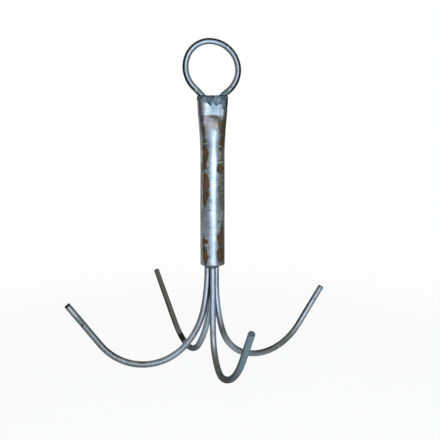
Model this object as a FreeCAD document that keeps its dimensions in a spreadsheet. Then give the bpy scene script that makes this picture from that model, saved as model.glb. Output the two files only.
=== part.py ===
import FreeCAD, Part
import math
import os
import Sketcher

# Reef anchor: a steel tube shank with an eye of round rod welded into its squeezed upper end, and
# four soft steel prongs, bent by hand into hooks, welded into its open lower end.
# Millimetres and degrees. Z is up and the anchor stands on the bends of its prongs at Z = 0,
# with the tube's axis on X = Y = 0. The eye lies in the XZ plane.
# A prong's lean is its angle from straight down: 0 is down, 90 is outward and level, 180 is up.
# A heading on the eye is measured clockwise from straight up, as seen from the front.

SIZES = {
    # Stock
    "rod_diameter": 8.0,
    "tube_outer": 32.0,
    "tube_wall": 2.5,
    "tube_length": 222.0,
    # The open lower end of the tube, above the ground
    "lower_end_height": 135.0,
    "lower_end_round": 1.5,
    # The squeezed upper end: pressed flat at the rim, then blending back to round
    "pressed_width": 40.3,
    "pressed_thickness": 15.0,
    "pressed_length": 25.0,
    "squeeze_length": 75.0,
    "face_half_angle": 46.5,
    # The bundle of prongs in the lower end
    "prong_pitch_radius": 5.8,
    "bundle_turn": 15.0,
    "bundle_shift": -1.0,
    "prong_insertion": 60.0,
    "tip_chamfer": 0.5,
    # Left prong
    "left_azimuth": 183.0,
    "left_first_radius": 255.0,
    "left_first_lean": 12.0,
    "left_second_radius": 98.0,
    "left_second_lean": 45.5,
    "left_third_radius": 73.0,
    "left_tip_lean": 140.5,
    "left_tip_length": 69.0,
    # Back prong
    "back_azimuth": 117.0,
    "back_first_radius": 123.0,
    "back_first_lean": 45.0,
    "back_second_radius": 44.0,
    "back_second_lean": 104.5,
    "back_third_radius": 99.0,
    "back_tip_lean": 131.0,
    "back_tip_length": 98.0,
    # Right prong
    "right_azimuth": 32.5,
    "right_first_radius": 217.0,
    "right_first_lean": 17.0,
    "right_second_radius": 60.0,
    "right_second_lean": 71.5,
    "right_third_radius": 88.0,
    "right_tip_lean": 138.5,
    "right_tip_length": 65.0,
    # Front prong
    "front_azimuth": -76.5,
    "front_first_radius": 159.0,
    "front_first_lean": 9.0,
    "front_second_radius": 43.0,
    "front_second_lean": 101.5,
    "front_third_radius": 158.0,
    "front_tip_lean": 139.5,
    "front_tip_length": 52.0,
    # The eye: two legs in the pressed end, leaning out at the neck into a slightly oval ring
    "leg_side_gap": 2.0,
    "leg_length": 20.0,
    "neck_depth": 4.8,
    "neck_radius": 9.3,
    "left_neck_heading": -44.5,
    "low_left_radius": 38.0,
    "left_side_heading": 26.0,
    "top_left_radius": 30.7,
    "top_heading": 94.5,
    "top_right_radius": 38.6,
    "right_side_heading": 174.5,
    "low_right_radius": 35.8,
    "right_neck_heading": 231.5,
    # Welds: the eye's legs to the squeezed rim, and the prongs to the lower end
    "weld_fit": 0.05,
    "eye_weld_depth": 6.0,
    "eye_weld_cap": 1.0,
    "eye_weld_overhang": 0.2,
    "eye_weld_break": 0.6,
    "run_height": 0.9,
    "run_side_gap": 0.2,
    "run_shortest": 7.0,
    "run_longest": 15.0,
    "run_gap_rise": 3.5,
    "run_tip_round": 0.8,
    "run_edge_break": 0.4,
    "prong_weld_depth": 8.0,
    "prong_weld_drop": 3.5,
    "prong_weld_cover": 3.3,
    "prong_weld_round": 1.5,
    "tack_radius": 5.2,
    "tack_offset": 1.6,
}

PRONGS = ("right", "back", "left", "front")
QUARTER_TURN = 90
HALF_TURN = 180
DOWN = -90
UP = 90
PRESSED_STEPS = 2
BLEND_STEPS = 4
# How far each weld run reaches down the face, as a share from the shortest to the longest
RUN_SHARES = (0.12, 0.78, 0.3, 1.0, 0.5)
TINY = 1e-6

# The points of a sketched edge, and the sketch's own axes and origin
START, END, CENTRE = range(1, 4)
AXIS_X, AXIS_Y = range(-1, -3, -1)
ORIGIN = (AXIS_X, START)

# Heights and places that several pieces share
RIM = "Sizes.lower_end_height + Sizes.tube_length"
NECK_LEVEL = f"{RIM} - Sizes.neck_depth"
LEG_FOOT = f"{NECK_LEVEL} - Sizes.leg_length"
LEG_OFFSET = "Sizes.pressed_width / 2 - Sizes.tube_wall - Sizes.leg_side_gap - Sizes.rod_diameter / 2"
PRONG_TOP = "Sizes.lower_end_height + Sizes.prong_insertion"
ROD_RADIUS = "Sizes.rod_diameter / 2"
ROD_SEAT = "Sizes.rod_diameter / 2 + Sizes.weld_fit"
ROUND_LENGTH = "Sizes.tube_length - Sizes.squeeze_length"
CAP_RADIUS = "Sizes.pressed_thickness / 2 + Sizes.run_height"
CAP_CENTRE = f"Sizes.pressed_width / 2 + Sizes.eye_weld_overhang - ({CAP_RADIUS})"
RUN_SPACING = f"2 * ({CAP_CENTRE} - Sizes.run_side_gap) / {len(RUN_SHARES)}"

doc = FreeCAD.newDocument("ReefAnchor")
sheet = doc.addObject("Spreadsheet::Sheet", "Sizes")
stations = doc.addObject("Spreadsheet::Sheet", "Stations")


def fill_sheet():
    for row, (alias, value) in enumerate(SIZES.items(), 1):
        sheet.set(f"A{row}", alias.replace("_", " "))
        sheet.set(f"B{row}", str(value))
        sheet.setAlias(f"B{row}", alias)
    doc.recompute()


def worth(expression):
    """What an expression comes to now, to draw with before the same expression holds the drawing."""
    return float(sheet.evalExpression(expression))


def size(alias):
    return worth(f"Sizes.{alias}")


def polar(radius, degrees):
    angle = math.radians(degrees)
    return FreeCAD.Vector(radius * math.cos(angle), radius * math.sin(angle), 0)


def new_body(name):
    body = doc.addObject("PartDesign::Body", name)
    body.Label = name
    return body


def new_sketch(body, name, role, height=None):
    """A sketch on one of the body's own origin planes, lifted along its normal by an expression."""
    plane = next(item for item in body.Origin.OriginFeatures if item.Role == role)
    sketch = body.newObject("Sketcher::SketchObject", name)
    sketch.AttachmentSupport = (plane, "")
    sketch.MapMode = "FlatFace"
    sketch.Visibility = False
    if height:
        sketch.setExpression("AttachmentOffset.Base.z", height)
    return sketch


def bind(sketch, kind, targets, expression):
    """Adds a constraint whose value an expression gives."""
    value = math.radians(worth(expression)) if kind == "Angle" else worth(expression)
    index = sketch.addConstraint(Sketcher.Constraint(kind, *targets, value))
    sketch.setExpression(f"Constraints[{index}]", expression)


def place_point(sketch, point, across, up):
    """Holds a point of an edge at its distances from the sketch's origin."""
    for kind, expression, axis in (("DistanceX", across, AXIS_Y), ("DistanceY", up, AXIS_X)):
        distance = worth(expression)
        if abs(distance) < TINY:
            sketch.addConstraint(Sketcher.Constraint("PointOnObject", *point, axis))
        elif distance > 0:
            bind(sketch, kind, (*ORIGIN, *point), expression)
        else:
            bind(sketch, kind, (*point, *ORIGIN), f"-({expression})")


def add_circle(sketch, radius, across="0", up="0"):
    centre = FreeCAD.Vector(worth(across), worth(up), 0)
    circle = sketch.addGeometry(Part.Circle(centre, FreeCAD.Vector(0, 0, 1), worth(radius)))
    place_point(sketch, (circle, CENTRE), across, up)
    bind(sketch, "Radius", (circle,), radius)


def add_arc(sketch, centre, radius, from_angle, to_angle):
    circle = Part.Circle(centre, FreeCAD.Vector(0, 0, 1), radius)
    arc = Part.ArcOfCircle(circle, math.radians(from_angle), math.radians(to_angle))
    return sketch.addGeometry(arc)


class BentPath:
    """A path of straights and bends, each tangent to the one before, drawn into a sketch.

    A length given as an expression is held, and one given as a number is left free to follow
    from the rest. A turn is counter-clockwise where it is positive.
    """

    def __init__(self, sketch, across, up, heading):
        self.sketch = sketch
        self.across = across
        self.up = up
        self.point = FreeCAD.Vector(worth(across), worth(up), 0)
        self.heading = heading
        self.last = None

    def join(self, edge, first, final):
        if self.last is None:
            place_point(self.sketch, (edge, first), self.across, self.up)
        else:
            self.sketch.addConstraint(Sketcher.Constraint("Tangent", *self.last, edge, first))
        self.last = (edge, final)

    def straight(self, length):
        held = isinstance(length, str)
        end = self.point + polar(worth(length) if held else length, self.heading)
        line = self.sketch.addGeometry(Part.LineSegment(self.point, end))
        self.join(line, START, END)
        if held:
            bind(self.sketch, "Distance", (line,), length)
        self.point = end
        return line

    def bend(self, radius, turn):
        end_heading = self.heading + worth(turn)
        side = QUARTER_TURN if worth(turn) > 0 else -QUARTER_TURN
        centre = self.point + polar(worth(radius), self.heading + side)
        low, high = sorted((self.heading - side, end_heading - side))
        arc = add_arc(self.sketch, centre, worth(radius), low, high)
        first, final = (START, END) if side > 0 else (END, START)
        self.join(arc, first, final)
        bind(self.sketch, "Radius", (arc,), radius)
        bind(self.sketch, "Angle", (arc,), f"abs({turn})")
        self.point = centre + polar(worth(radius), end_heading - side)
        self.heading = end_heading
        return arc


def add_prism(body, name, kind, profile, length, backward=False):
    """A pad or pocket of a sketch, as long as an expression says."""
    prism = body.newObject(f"PartDesign::{kind}", name)
    prism.Profile = profile
    prism.Reversed = backward
    prism.Length = worth(length)
    prism.setExpression("Length", length)
    doc.recompute()
    return prism


def add_pipe(body, name, kind, profile, path):
    pipe = body.newObject(f"PartDesign::{kind}", name)
    pipe.Profile = profile
    pipe.Spine = path
    doc.recompute()
    return pipe


def edges_where(feature, wanted):
    """The names of a feature's edges that pass a test."""
    return [f"Edge{place}" for place, edge in enumerate(feature.Shape.Edges, 1) if wanted(edge)]


def round_edges(body, name, feature, wanted, radius):
    rounding = body.newObject("PartDesign::Fillet", name)
    rounding.Base = (feature, edges_where(feature, wanted))
    rounding.setExpression("Radius", radius)
    doc.recompute()
    return rounding


def break_edges(body, name, feature, wanted, width):
    chamfer = body.newObject("PartDesign::Chamfer", name)
    chamfer.Base = (feature, edges_where(feature, wanted))
    chamfer.setExpression("Size", width)
    doc.recompute()
    return chamfer


def at_height(edge, height):
    box = edge.BoundBox
    return max(abs(box.ZMin - height), abs(box.ZMax - height)) < TINY


# The squeezed end's sections

def add_station(name, depth, swell=None):
    """Works out the tube's outer section at a depth below the rim, in a row of the stations' sheet.

    The width follows a half cosine from the pressed rim to the round tube. A station on the
    pressed faces is two flats and two half rounds. One on the blend is four tangent arcs: its
    thickness grows with the swell as a quarter sine, and the half angle of the front and back
    arcs grows evenly from nothing to their share of the round tube.
    """
    width_share = f"(1 + cos({HALF_TURN} * {name}_depth / Sizes.squeeze_length)) / 2"
    widening = "(Sizes.pressed_width - Sizes.tube_outer)"
    formulas = {
        "depth": depth,
        "half_width": f"(Sizes.tube_outer + {widening} * {width_share}) / 2",
        "half_depth": "Sizes.pressed_thickness / 2",
        "side_radius": f"{name}_half_depth",
        "side_centre": f"{name}_half_width - {name}_side_radius",
    }
    if swell:
        bulge = f"(Sizes.tube_outer - Sizes.pressed_thickness) * sin({QUARTER_TURN} * {name}_swell)"
        angle = f"{name}_face_angle"
        widest = f"({name}_half_width - {name}_half_depth)"
        formulas["swell"] = swell
        formulas["face_angle"] = f"Sizes.face_half_angle * {name}_swell"
        formulas["half_depth"] = f"(Sizes.pressed_thickness + {bulge}) / 2"
        formulas["face_offset"] = f"{widest} / (sin({angle}) + cos({angle}) - 1)"
        formulas["side_radius"] = f"{name}_half_depth - {name}_face_offset * (1 - cos({angle}))"
        formulas["face_radius"] = f"{name}_face_offset + {name}_side_radius"
    used = len(stations.getUsedCells())
    for row, (role, formula) in enumerate(formulas.items(), used + 1):
        stations.setAlias(f"A{row}", f"{name}_{role}")
    for row, formula in enumerate(formulas.values(), used + 1):
        stations.set(f"A{row}", f"={formula}")
    doc.recompute()
    return name


def draw_oval(sketch, side_centre, side_radius, face_angle="0", face_radius=None):
    """Draws two rounded sides joined by two faces: flats, or arcs where a radius is given."""
    centre = worth(side_centre)
    radius = worth(side_radius)
    angle = worth(face_angle)
    corner = polar(radius, QUARTER_TURN - angle) + FreeCAD.Vector(centre, 0, 0)
    for side, middle in ((1, 0), (-1, HALF_TURN)):
        place = FreeCAD.Vector(side * centre, 0, 0)
        sweep = QUARTER_TURN - angle
        rounded = add_arc(sketch, place, radius, middle - sweep, middle + sweep)
        sketch.addConstraint(Sketcher.Constraint("Symmetric", rounded, START, rounded, END, AXIS_X))
        targets = (*ORIGIN, rounded, CENTRE) if side > 0 else (rounded, CENTRE, *ORIGIN)
        bind(sketch, "DistanceX", targets, side_centre)
        bind(sketch, "Radius", (rounded,), side_radius)
        bind(sketch, "Angle", (rounded,), f"{HALF_TURN} - 2 * {face_angle}")
        if face_radius:
            sagitta = worth(face_radius) * math.cos(math.radians(angle))
            middle += QUARTER_TURN
            place = FreeCAD.Vector(0, side * (corner.y - sagitta), 0)
            face = add_arc(sketch, place, worth(face_radius), middle - angle, middle + angle)
            bind(sketch, "Radius", (face,), face_radius)
        else:
            start = FreeCAD.Vector(side * corner.x, side * corner.y, 0)
            sketch.addGeometry(Part.LineSegment(start, FreeCAD.Vector(-start.x, start.y, 0)))
    pieces = sketch.GeometryCount
    for piece in range(pieces):
        ends = (piece, END, (piece + 1) % pieces, START)
        sketch.addConstraint(Sketcher.Constraint("Coincident", *ends))


def draw_station(sketch, station, inward):
    """Draws a station's section, moved in from the tube's outside by an expression."""
    row = f"Stations.{station}"
    curved = hasattr(stations, f"{station}_face_radius")
    face = (f"{row}_face_angle", f"{row}_face_radius - ({inward})") if curved else ()
    draw_oval(sketch, f"{row}_side_centre", f"{row}_side_radius - ({inward})", *face)


def add_stations():
    """Stations down from the rim: along the pressed faces, then along the blend to the round tube."""
    pressed = "Sizes.pressed_length"
    faces = [
        add_station(f"pressed_{step}", f"{pressed} * {step} / {PRESSED_STEPS}")
        for step in range(PRESSED_STEPS + 1)
    ]
    blend = [faces[-1]]
    for step in range(1, BLEND_STEPS + 1):
        swell = f"{step} / {BLEND_STEPS}"
        depth = f"{pressed} + (Sizes.squeeze_length - {pressed}) * {swell}"
        blend.append(add_station(f"blend_{step}", depth, swell))
    return faces, blend


def add_loft(body, name, kind, row, inward):
    sections = []
    for station in row:
        height = f"{RIM} - Stations.{station}_depth"
        sketch = new_sketch(body, f"{name}_{station}", "XY_Plane", height)
        draw_station(sketch, station, inward)
        sections.append(sketch)
    doc.recompute()
    loft = body.newObject(f"PartDesign::{kind}", name)
    loft.Profile = sections[0]
    loft.Sections = sections[1:]
    doc.recompute()


# The shank tube

def cut_leg_seat(body, side):
    """Cuts the way of one of the eye's legs, a little wider than the rod, up and out over the rim."""
    name = "left" if side < 0 else "right"
    offset = f"{side} * ({LEG_OFFSET})"
    turn = "-Sizes.left_neck_heading" if side < 0 else f"{HALF_TURN} - Sizes.right_neck_heading"
    path = new_sketch(body, f"{body.Name}_{name}_seat_path", "XZ_Plane")
    route = BentPath(path, offset, LEG_FOOT, UP)
    leg = route.straight("Sizes.leg_length")
    path.addConstraint(Sketcher.Constraint("Vertical", leg))
    route.bend("Sizes.neck_radius", turn)
    route.straight("Sizes.rod_diameter")
    profile = new_sketch(body, f"{body.Name}_{name}_seat_profile", "XY_Plane", LEG_FOOT)
    add_circle(profile, ROD_SEAT, offset)
    doc.recompute()
    add_pipe(body, f"{body.Name}_{name}_seat", "SubtractivePipe", profile, path)


def make_shank_tube():
    body = new_body("shank_tube")
    faces, blend = add_stations()
    lower = new_sketch(body, "round_tube_section", "XY_Plane", "Sizes.lower_end_height")
    add_circle(lower, "Sizes.tube_outer / 2")
    doc.recompute()
    tube = add_prism(body, "round_tube", "Pad", lower, ROUND_LENGTH)
    end = size("lower_end_height")
    round_edges(
        body, "rounded_lower_end", tube, lambda edge: at_height(edge, end), "Sizes.lower_end_round"
    )
    add_loft(body, "blend", "AdditiveLoft", blend, "0")
    add_loft(body, "pressed_end", "AdditiveLoft", faces, "0")
    add_loft(body, "blend_bore", "SubtractiveLoft", blend, "Sizes.tube_wall")
    add_loft(body, "pressed_bore", "SubtractiveLoft", faces, "Sizes.tube_wall")
    bore = new_sketch(body, "round_bore_section", "XY_Plane", "Sizes.lower_end_height")
    add_circle(bore, "Sizes.tube_outer / 2 - Sizes.tube_wall")
    doc.recompute()
    add_prism(body, "round_bore", "Pocket", bore, ROUND_LENGTH, backward=True)
    for side in (-1, 1):
        cut_leg_seat(body, side)
    return body


# The prongs

def prong_turn(side):
    return f"Sizes.bundle_turn + {QUARTER_TURN * PRONGS.index(side)}"


def prong_across(side):
    """The prong's place in the bundle, on a square turned a little from the eye's plane."""
    return f"Sizes.bundle_shift + Sizes.prong_pitch_radius * cos({prong_turn(side)})"


def prong_depth(side):
    return f"Sizes.prong_pitch_radius * sin({prong_turn(side)})"


def prong_bends(side):
    """The three bends in order, each as its radius and the lean that it ends at."""
    stages = (
        ("first_radius", "first_lean"),
        ("second_radius", "second_lean"),
        ("third_radius", "tip_lean"),
    )
    return [(f"Sizes.{side}_{radius}", f"Sizes.{side}_{lean}") for radius, lean in stages]


def drop_to_ground(side):
    """How far the bends carry the prong down from the end of its straight upper stretch."""
    drop = 0.0
    lean = 0.0
    for radius, end in prong_bends(side):
        lowest = min(worth(end), QUARTER_TURN)
        drop += worth(radius) * (math.sin(math.radians(lowest)) - math.sin(math.radians(lean)))
        if worth(end) >= QUARTER_TURN:
            return drop
        lean = worth(end)
    return drop


def make_prong(side):
    """A rod that runs straight down out of the tube, through three tangent bends and up to its tip.

    The bend that turns the rod level rests on the ground, which sets the straight upper stretch.
    """
    body = new_body(f"prong_{side}")
    path = new_sketch(body, f"{side}_path", "XZ_Plane")
    route = BentPath(path, "0", PRONG_TOP, DOWN)
    line = route.straight(worth(f"{PRONG_TOP} - {ROD_RADIUS}") - drop_to_ground(side))
    path.addConstraint(Sketcher.Constraint("Vertical", line))
    grounded = False
    before = "0"
    for radius, lean in prong_bends(side):
        arc = route.bend(radius, f"{lean} - {before}")
        before = lean
        if worth(lean) >= QUARTER_TURN and not grounded:
            bind(path, "DistanceY", (*ORIGIN, arc, CENTRE), f"{radius} + {ROD_RADIUS}")
            grounded = True
    route.straight(f"Sizes.{side}_tip_length")
    profile = new_sketch(body, f"{side}_profile", "XY_Plane", PRONG_TOP)
    add_circle(profile, ROD_RADIUS)
    doc.recompute()
    rod = add_pipe(body, f"{side}_rod", "AdditivePipe", profile, path)
    tip = FreeCAD.Vector(route.point.x, 0, route.point.y)
    break_edges(
        body, f"{side}_tip", rod, lambda edge: edge.CenterOfMass.isEqual(tip, TINY), "Sizes.tip_chamfer"
    )
    body.Placement.Rotation = FreeCAD.Rotation(FreeCAD.Vector(0, 0, 1), size(f"{side}_azimuth"))
    body.setExpression("Placement.Base.x", prong_across(side))
    body.setExpression("Placement.Base.y", prong_depth(side))
    body.setExpression("Placement.Rotation.Angle", f"Sizes.{side}_azimuth")
    doc.recompute()
    return body


# The eye

EYE_BENDS = (
    ("Sizes.low_left_radius", "Sizes.left_neck_heading", "Sizes.left_side_heading"),
    ("Sizes.top_left_radius", "Sizes.left_side_heading", "Sizes.top_heading"),
    ("Sizes.top_right_radius", "Sizes.top_heading", "Sizes.right_side_heading"),
    ("Sizes.low_right_radius", "Sizes.right_side_heading", "Sizes.right_neck_heading"),
)


def compass(heading):
    """Turns a heading, clockwise from straight up, into an angle from the X axis."""
    return QUARTER_TURN - heading


def clockwise_step(radius, start, end):
    """The way from one end to the other of a clockwise bend, or of a counter-clockwise one
    where the radius is negative."""
    first = polar(radius, compass(start) + QUARTER_TURN)
    last = polar(radius, compass(end) + QUARTER_TURN)
    return last - first


def neck_straights():
    """The lengths of the two straights at the neck that bring the eye back to its right leg."""
    left, right = size("left_neck_heading"), size("right_neck_heading")
    neck = -size("neck_radius")
    way = clockwise_step(neck, 0, left) + clockwise_step(neck, right, HALF_TURN)
    for radius, start, end in EYE_BENDS:
        way += clockwise_step(worth(radius), worth(start), worth(end))
    rest = FreeCAD.Vector(2 * worth(LEG_OFFSET), 0, 0) - way
    out, back = polar(1, compass(left)), polar(1, compass(right))
    cross = out.x * back.y - out.y * back.x
    first = (rest.x * back.y - rest.y * back.x) / cross
    second = (out.x * rest.y - out.y * rest.x) / cross
    return first, second


def make_eye_ring():
    """One rod: up out of the left leg, out at the neck, round the oval and back to the right leg."""
    body = new_body("eye_ring")
    out_length, back_length = neck_straights()
    path = new_sketch(body, "eye_path", "XZ_Plane")
    route = BentPath(path, f"-({LEG_OFFSET})", LEG_FOOT, UP)
    left_leg = route.straight("Sizes.leg_length")
    path.addConstraint(Sketcher.Constraint("Vertical", left_leg))
    route.bend("Sizes.neck_radius", "-Sizes.left_neck_heading")
    route.straight(out_length)
    for radius, start, end in EYE_BENDS:
        route.bend(radius, f"{start} - {end}")
    route.straight(back_length)
    route.bend("Sizes.neck_radius", f"Sizes.right_neck_heading - {HALF_TURN}")
    right_leg = route.straight("Sizes.leg_length")
    place_point(path, (right_leg, END), LEG_OFFSET, LEG_FOOT)
    profile = new_sketch(body, "eye_profile", "XY_Plane", LEG_FOOT)
    add_circle(profile, ROD_RADIUS, f"-({LEG_OFFSET})")
    doc.recompute()
    add_pipe(body, "eye_rod", "AdditivePipe", profile, path)
    return body


# The welds

def run_tips():
    """How far down from the rim each run of weld metal reaches."""
    reach = "(Sizes.run_longest - Sizes.run_shortest)"
    return [f"Sizes.run_shortest + {reach} * {share}" for share in RUN_SHARES]


def run_outline():
    """The corners of the metal that ran down a face: tips of uneven length with gaps between."""
    tips = run_tips()
    count = len(tips)
    top = f"{RIM} + Sizes.eye_weld_cap - Sizes.eye_weld_break"
    corners = [(f"{count / 2} * ({RUN_SPACING})", top), (f"-{count / 2} * ({RUN_SPACING})", top)]
    for place, tip in enumerate(tips):
        shorter = f"min({tips[max(place - 1, 0)]}; {tip})"
        gap = f"{RIM} - ({shorter} - Sizes.run_gap_rise)"
        corners.append((f"{place - count / 2} * ({RUN_SPACING})", gap))
        corners.append((f"{place + 1 / 2 - count / 2} * ({RUN_SPACING})", f"{RIM} - ({tip})"))
    last_gap = f"{RIM} - ({tips[-1]} - Sizes.run_gap_rise)"
    corners.append((f"{count / 2} * ({RUN_SPACING})", last_gap))
    return corners


def draw_polygon(sketch, corners):
    points = [FreeCAD.Vector(worth(across), worth(up), 0) for across, up in corners]
    count = len(points)
    for place, (across, up) in enumerate(corners):
        line = sketch.addGeometry(Part.LineSegment(points[place], points[(place + 1) % count]))
        place_point(sketch, (line, START), across, up)
    for place in range(count):
        ends = (place, END, (place + 1) % count, START)
        sketch.addConstraint(Sketcher.Constraint("Coincident", *ends))


def add_runs(body, name, facing):
    """Pads the ragged runs out from the front or back face of the pressed end."""
    face = "(Sizes.pressed_thickness / 2 + Sizes.weld_fit)"
    sketch = new_sketch(body, f"{name}_outline", "XZ_Plane", f"{facing} * {face}")
    corners = run_outline()
    if facing < 0:
        corners = [(f"-({across})", up) for across, up in corners]
    draw_polygon(sketch, corners)
    doc.recompute()
    length = "Sizes.run_height - Sizes.weld_fit"
    return add_prism(body, name, "Pad", sketch, length, backward=facing < 0)


def make_eye_weld():
    """The weld that closes the squeezed rim round the eye's legs and ran down both faces."""
    body = new_body("eye_weld")
    station = add_station("weld_root", "Sizes.eye_weld_depth")
    root = new_sketch(body, "root_section", "XY_Plane", f"{RIM} - Sizes.eye_weld_depth")
    draw_station(root, station, "Sizes.tube_wall + Sizes.weld_fit")
    doc.recompute()
    add_prism(body, "root", "Pad", root, "Sizes.eye_weld_depth")
    cap = new_sketch(body, "cap_section", "XY_Plane", RIM)
    draw_oval(cap, CAP_CENTRE, CAP_RADIUS)
    doc.recompute()
    over_rim = add_prism(body, "cap", "Pad", cap, "Sizes.eye_weld_cap")
    top = worth(f"{RIM} + Sizes.eye_weld_cap")
    break_edges(
        body, "broken_cap_edge", over_rim, lambda edge: at_height(edge, top), "Sizes.eye_weld_break"
    )
    add_runs(body, "front_runs", 1)
    runs = add_runs(body, "back_runs", -1)
    outside = worth(CAP_RADIUS)
    rim = worth(RIM)
    ends = [rim - worth(tip) for tip in run_tips()]

    def is_tip(edge):
        return edge.BoundBox.YLength > TINY and any(at_height(edge, end) for end in ends)

    def is_outline(edge):
        return abs(abs(edge.CenterOfMass.y) - outside) < TINY and edge.BoundBox.ZMin < rim - TINY

    tips = round_edges(body, "rounded_tips", runs, is_tip, "Sizes.run_tip_round")
    break_edges(body, "broken_run_edges", tips, is_outline, "Sizes.run_edge_break")
    for side in (-1, 1):
        cut_leg_seat(body, side)
    return body


def make_prong_weld():
    """The weld that fills the lower end round the four prongs and hangs a little below it."""
    body = new_body("prong_weld")
    end = "Sizes.lower_end_height"
    plug = new_sketch(body, "plug_section", "XY_Plane", end)
    add_circle(plug, "Sizes.tube_outer / 2 - Sizes.tube_wall - Sizes.weld_fit")
    doc.recompute()
    add_prism(body, "plug", "Pad", plug, "Sizes.prong_weld_depth")
    low = f"{end} - Sizes.prong_weld_drop"
    pool = new_sketch(body, "pool_section", "XY_Plane", low)
    add_circle(pool, "Sizes.prong_pitch_radius + Sizes.prong_weld_cover", "Sizes.bundle_shift")
    doc.recompute()
    hanging = add_prism(body, "pool", "Pad", pool, "Sizes.prong_weld_drop")
    lowest = worth(low)
    round_edges(
        body, "rounded_pool", hanging, lambda edge: at_height(edge, lowest), "Sizes.prong_weld_round"
    )
    tack = body.newObject("PartDesign::AdditiveSphere", "tack")
    tack.setExpression("Radius", "Sizes.tack_radius")
    tack.Angle2 = 0
    tack.setExpression("Placement.Base.x", prong_across("front"))
    tack.setExpression("Placement.Base.y", f"{prong_depth('front')} - Sizes.tack_offset")
    tack.setExpression("Placement.Base.z", end)
    doc.recompute()
    seats = new_sketch(body, "prong_seats", "XY_Plane", f"{low} - Sizes.tack_radius")
    for side in PRONGS:
        add_circle(seats, ROD_SEAT, prong_across(side), prong_depth(side))
    doc.recompute()
    length = "Sizes.tack_radius + Sizes.prong_weld_drop + Sizes.prong_weld_depth"
    add_prism(body, "seats", "Pocket", seats, length, backward=True)
    return body


def check_and_write(parts):
    doc.recompute()
    failed = [item.Name for item in doc.Objects if {"Invalid", "Error"} & set(item.State)]
    if failed:
        raise RuntimeError(f"failed objects: {failed}")
    os.makedirs("parts", exist_ok=True)
    for part in parts:
        shape = part.Shape
        if shape.isNull() or not shape.isValid():
            raise RuntimeError(f"{part.Label} has no valid shape")
    for part in parts:
        part.Shape.exportStep(os.path.join("parts", f"{part.Label}.step"))
        solids = len(part.Shape.Solids)
        print(f"{part.Label}: {solids} solid, {part.Shape.Volume:.0f} mm3")


fill_sheet()
parts = [make_shank_tube(), make_eye_ring(), make_eye_weld(), make_prong_weld()]
parts += [make_prong(side) for side in PRONGS]
check_and_write(parts)
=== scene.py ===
import bpy
import numpy as np
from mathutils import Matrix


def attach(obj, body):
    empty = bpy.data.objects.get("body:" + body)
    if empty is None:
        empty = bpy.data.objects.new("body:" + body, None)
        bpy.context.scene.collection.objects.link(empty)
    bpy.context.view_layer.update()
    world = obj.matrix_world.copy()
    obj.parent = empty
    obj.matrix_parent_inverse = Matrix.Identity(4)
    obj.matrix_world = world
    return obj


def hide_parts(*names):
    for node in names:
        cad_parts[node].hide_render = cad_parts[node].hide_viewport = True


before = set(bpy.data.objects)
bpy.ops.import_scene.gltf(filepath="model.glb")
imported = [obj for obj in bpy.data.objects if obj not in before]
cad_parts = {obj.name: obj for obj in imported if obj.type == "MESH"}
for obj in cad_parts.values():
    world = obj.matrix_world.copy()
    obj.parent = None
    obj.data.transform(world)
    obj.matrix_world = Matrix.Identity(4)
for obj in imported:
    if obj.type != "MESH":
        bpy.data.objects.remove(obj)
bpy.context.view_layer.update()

# Reef anchor: a steel tube with a welded eye of round rod above and four bent prongs below.
# Shapes are worked out in millimetres and laid down in metres. Z is up, the front faces -Y.

# A millimetre in metres, and a whole turn in radians
MM = 0.001
TURN = 2 * np.pi

# Radii of the rod and the tube, the tube's wall, the heights of its ends and its lower edge's round
ROD = 4.0
TUBE = 16.0
WALL = 2.5
LOWER_END = 135.0
LOWER_ROUND = 1.5
RIM = 357.0

# The squeezed upper end: half its width and thickness, the length of the pressed faces and of the
# whole squeeze, half angles of the face arcs in degrees, and the girth at the rim
PRESSED_HALF_WIDTH = 20.15
PRESSED_HALF_DEPTH = 7.5
PRESSED_LENGTH = 25.0
SQUEEZE_LENGTH = 75.0
FACE_HALF_ANGLE = 46.5
FLATTEST_ANGLE = 0.6
PRESSED_GIRTH = 97.7

# The bundle of prongs: how far to the right of the axis it stands, its radius and its top's height
BUNDLE_SHIFT = -1.0
BUNDLE_RADIUS = 5.8
PRONG_TOP = 195.0

# The four prongs: place in the bundle, compass of the hook, bend radii, leans and straight tip
PRONGS = {
    "left": (195.0, 183.0, (255.0, 98.0, 73.0), (12.0, 45.5, 140.5), 69.0),
    "back": (105.0, 117.0, (123.0, 44.0, 99.0), (45.0, 104.5, 131.0), 98.0),
    "right": (15.0, 32.5, (217.0, 60.0, 88.0), (17.0, 71.5, 138.5), 65.0),
    "front": (285.0, -76.5, (159.0, 43.0, 158.0), (9.0, 101.5, 139.5), 52.0),
}

# The eye's legs: how far to each side they stand, their length, how far below the rim they start
# to bend out, and the radius of that bend
LEG_OFFSET = 11.65
LEG_LENGTH = 20.0
NECK_DEPTH = 4.8
NECK_RADIUS = 9.3

# The eye's oval: its bends in order, and the headings before, between and after them
EYE_RADII = (38.0, 30.7, 38.6, 35.8)
EYE_HEADINGS = (-44.5, 26.0, 94.5, 174.5, 231.5)


# Shared ways of working

def ripple(points, wavelength, seed, waves=9):
    """Plane sine waves of 0.6 to 1.6 times a wavelength, in seeded directions and phases, added up
    and divided by the root of their number, so that the result swings to about one each way."""
    rng = np.random.default_rng(seed)
    directions = rng.normal(size=(waves, 3))
    directions /= np.linalg.norm(directions, axis=1, keepdims=True)
    lengths = wavelength * rng.uniform(0.6, 1.6, waves)
    phases = rng.uniform(0, TURN, waves)
    angles = TURN * (points @ (directions / lengths[:, None]).T) + phases
    return np.sin(angles).sum(axis=-1) / np.sqrt(waves)


def uneven(points, layers, seed):
    """Ripples added up: each layer is a height and a wavelength, and takes the next seed."""
    return sum(
        height * ripple(points, wavelength, layer_seed)
        for layer_seed, (height, wavelength) in enumerate(layers, seed)
    )


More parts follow.
